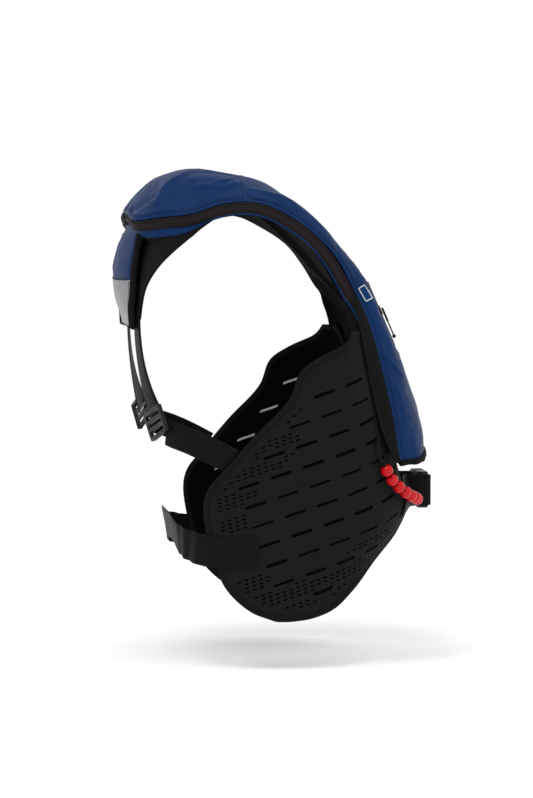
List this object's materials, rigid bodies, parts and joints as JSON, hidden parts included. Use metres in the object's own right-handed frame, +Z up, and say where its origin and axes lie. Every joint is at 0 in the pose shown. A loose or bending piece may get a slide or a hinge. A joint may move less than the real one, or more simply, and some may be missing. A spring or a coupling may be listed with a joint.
{
  "type": "inflatable life jacket",
  "caption": "Inflatable life jacket: horseshoe cover over the shoulders, chest zip, rear flap, perforated side panels, waist belt with buckle and a manual pull handle.",
  "frame": {"origin": "on the jacket's centre plane in the neck opening, at the height of the neck edge at the shoulders", "axes": "+Z up as worn, the wearer faces -Y, the wearer's right side is -X"},
  "size_m": [0.3416, 0.3791, 0.529],
  "materials": {
    "cover_fabric": "navy blue coated woven cover fabric",
    "black_fabric": "black woven lining",
    "panel_fabric": "black perforated laminated fabric",
    "webbing": "black woven webbing",
    "zip_tape": "black zip tape and coil",
    "reflective": "silver reflective fabric with a fine hatch",
    "bladder_film": "yellow coated bladder fabric",
    "red_plastic": "glossy red plastic",
    "cord": "black braided cord",
    "steel": "plated steel",
    "green_plastic": "green plastic",
    "orange_plastic": "orange plastic",
    "black_plastic": "black moulded plastic"
  },
  "bodies": {
    "jacket": {"cover_outer_right": "cover_fabric", "cover_outer_left": "cover_fabric", "cover_outer_yoke": "cover_fabric", "cover_inner_right": "black_fabric", "cover_inner_left": "black_fabric", "cover_inner_yoke": "cover_fabric", "bladder": "bladder_film", "side_gusset_right": "black_fabric", "side_gusset_left": "black_fabric", "burst_zip_right": "zip_tape", "burst_zip_left": "zip_tape", "lobe_hem_right": "black_fabric", "lobe_hem_left": "black_fabric", "side_panel_right": "panel_fabric", "side_panel_left": "panel_fabric", "back_panel": "panel_fabric", "back_strap_right": "webbing", "back_strap_left": "webbing", "adjuster_strap_right": "webbing", "adjuster_strap_left": "webbing", "waist_belt": "webbing", "chest_zip_tape_right": "zip_tape", "chest_zip_tape_left": "zip_tape", "chest_zip_chain": "zip_tape", "inflator_body": "black_plastic", "oral_tube": "black_plastic", "whistle": "orange_plastic", "buckle_socket": "black_plastic", "front_belt_right": "webbing", "front_belt_left": "webbing"},
    "zip_slider": {"chest_zip_slider": "black_plastic"},
    "zip_puller": {"chest_zip_puller": "black_plastic"},
    "buckle_prong_side": {"buckle_prongs": "black_plastic"},
    "cylinder": {"gas_cylinder": "steel"},
    "sensor": {"sensor_cap": "green_plastic"},
    "manual_pull": {"pull_cord": "cord", "pull_bead_1": "red_plastic", "pull_bead_2": "red_plastic", "pull_bead_3": "red_plastic", "pull_bead_4": "red_plastic", "pull_bead_5": "red_plastic", "pull_bead_6": "red_plastic", "pull_bead_7": "red_plastic", "pull_knot": "cord"},
    "lever": {"inflator_lever": "red_plastic"},
    "oral_cap": {"oral_tube_cap": "red_plastic"},
    "lock_right": {"ladder_lock_right": "black_plastic"},
    "lock_left": {"ladder_lock_left": "black_plastic"},
    "rear_flap": {"back_flap": "cover_fabric", "reflective_panel": "reflective"}
  },
  "joints": [
    {"name": "chest_zip_slide", "type": "slide", "parent": "jacket", "child": "zip_slider", "axis": [0, -0.3969, -0.9179], "range_m": [-0.029, 0.029]},
    {"name": "zip_puller_hinge", "type": "hinge", "parent": "zip_slider", "child": "zip_puller", "pos_m": [0, -0.14667, -0.14389], "axis": [-1, 0, 0], "range_deg": [0, 100]},
    {"name": "buckle_release", "type": "slide", "parent": "jacket", "child": "buckle_prong_side", "axis": [-1, 0, 0], "range_m": [0, 0.028]},
    {"name": "cylinder_unscrew", "type": "hinge", "parent": "jacket", "child": "cylinder", "pos_m": [-0.097, -0.1595, -0.284], "axis": [0, 0.2696, 0.963], "continuous": true},
    {"name": "sensor_cap_unscrew", "type": "hinge", "parent": "jacket", "child": "sensor", "pos_m": [-0.097, -0.1595, -0.284], "axis": [0, 0.2696, 0.963], "continuous": true},
    {"name": "manual_pull_slide", "type": "slide", "parent": "jacket", "child": "manual_pull", "axis": [-0.2506, -0.3509, -0.9023], "range_m": [0, 0.03]},
    {"name": "lever_turn", "type": "hinge", "parent": "jacket", "child": "lever", "pos_m": [-0.1094, -0.16058, -0.28785], "axis": [-1, 0, 0], "range_deg": [0, 52]},
    {"name": "oral_cap_slide", "type": "slide", "parent": "jacket", "child": "oral_cap", "axis": [0, 0.2696, 0.963], "range_m": [0, 0.012]},
    {"name": "ladder_lock_right_tilt", "type": "hinge", "parent": "jacket", "child": "lock_right", "pos_m": [-0.1238, 0.1419, -0.2584], "axis": [0.8622, 0.345, -0.3709], "range_deg": [0, 30]},
    {"name": "ladder_lock_left_tilt", "type": "hinge", "parent": "jacket", "child": "lock_left", "pos_m": [0.1238, 0.1419, -0.2584], "axis": [0.8622, -0.345, 0.3709], "range_deg": [0, 30]},
    {"name": "back_flap_hinge", "type": "hinge", "parent": "jacket", "child": "rear_flap", "pos_m": [0, 0.166, -0.05], "axis": [1, 0, 0], "range_deg": [0, 70]}
  ],
  "couplings": [
    {"joint": "lever_turn", "follows": "manual_pull_slide", "rad_per_m": 30}
  ]
}
